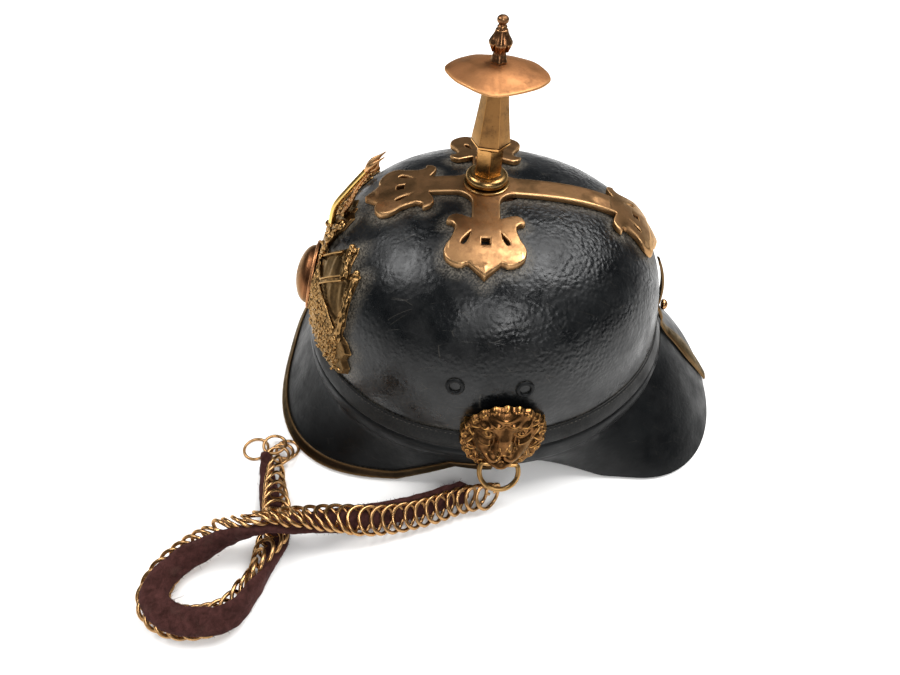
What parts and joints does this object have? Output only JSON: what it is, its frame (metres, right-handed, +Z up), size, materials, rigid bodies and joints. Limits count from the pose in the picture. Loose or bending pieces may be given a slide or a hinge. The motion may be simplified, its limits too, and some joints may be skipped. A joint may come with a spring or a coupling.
{
  "type": "spiked military helmet",
  "caption": "Leather parade helmet with front and rear visors, a brass cross with spike and disc, lion bosses with swinging rings, and a velvet-backed ring chain.",
  "frame": {"origin": "on the table under the middle of the helmet's box, loose chain left out", "axes": "+Z up, -Y toward the front visor, +X toward the wearer's left, where the chain is"},
  "size_m": [0.3357, 0.3475, 0.2484],
  "materials": {
    "leather_black": "black lacquered leather, pebbled and glossy",
    "lining_leather": "plain tanned leather",
    "brass": "aged brass with bright worn edges",
    "brass_dark": "dark tarnished brass",
    "copper_brass": "red brass, tarnished copper-brown",
    "bronze_dark": "dark patinated bronze",
    "steel_rod": "plain steel",
    "eyelet_black": "black enamel",
    "lace_cord": "twisted cotton cord",
    "velvet": "dark maroon velvet"
  },
  "bodies": {
    "helmet": {"skull": "leather_black", "skull_band": "leather_black", "front_visor": "leather_black", "front_visor_rim": "brass_dark", "front_visor_lining": "lining_leather", "rear_visor": "leather_black", "rear_visor_lining": "lining_leather", "rear_spine": "brass", "spine_stud": "brass", "spine_nut": "brass", "cross_mount": "copper_brass", "spike_foot_ring": "brass", "spike_rod": "steel_rod", "crown_washer": "lining_leather", "crown_nut": "brass", "front_plate": "brass", "plate_shield": "copper_brass", "plate_crest": "brass", "plate_nuts": "brass", "lion_left": "brass", "lion_right": "brass", "lion_nuts": "brass", "vent_eyelets": "eyelet_black", "sweatband": "lining_leather", "liner_tongues": "lining_leather", "liner_lace": "lace_cord", "velvet_strap": "velvet", "chain_rings": "brass", "chain_loose_rings": "brass", "chain_end_ring": "brass"},
    "spike": {"spike_column": "brass", "spike_disc": "copper_brass"},
    "finial": {"spike_finial": "bronze_dark"},
    "left_ring": {"ring_left": "brass", "chain_hook": "brass"},
    "right_ring": {"ring_right": "brass"}
  },
  "joints": [
    {"name": "spike_turn", "type": "hinge", "parent": "helmet", "child": "spike", "pos_m": [0, -0.0223, 0.17], "axis": [0, 0, 1], "continuous": true},
    {"name": "finial_turn", "type": "hinge", "parent": "spike", "child": "finial", "pos_m": [0, -0.0223, 0.23], "axis": [0, 0, 1], "continuous": true},
    {"name": "left_ring_swing", "type": "hinge", "parent": "helmet", "child": "left_ring", "pos_m": [0.1125, -0.0044, 0.034], "axis": [0, -1, 0], "range_deg": [-33, 60], "deforming": ["velvet_strap", "chain_rings"]},
    {"name": "right_ring_swing", "type": "hinge", "parent": "helmet", "child": "right_ring", "pos_m": [-0.1125, -0.0044, 0.034], "axis": [0, 1, 0], "range_deg": [0, 95]}
  ]
}
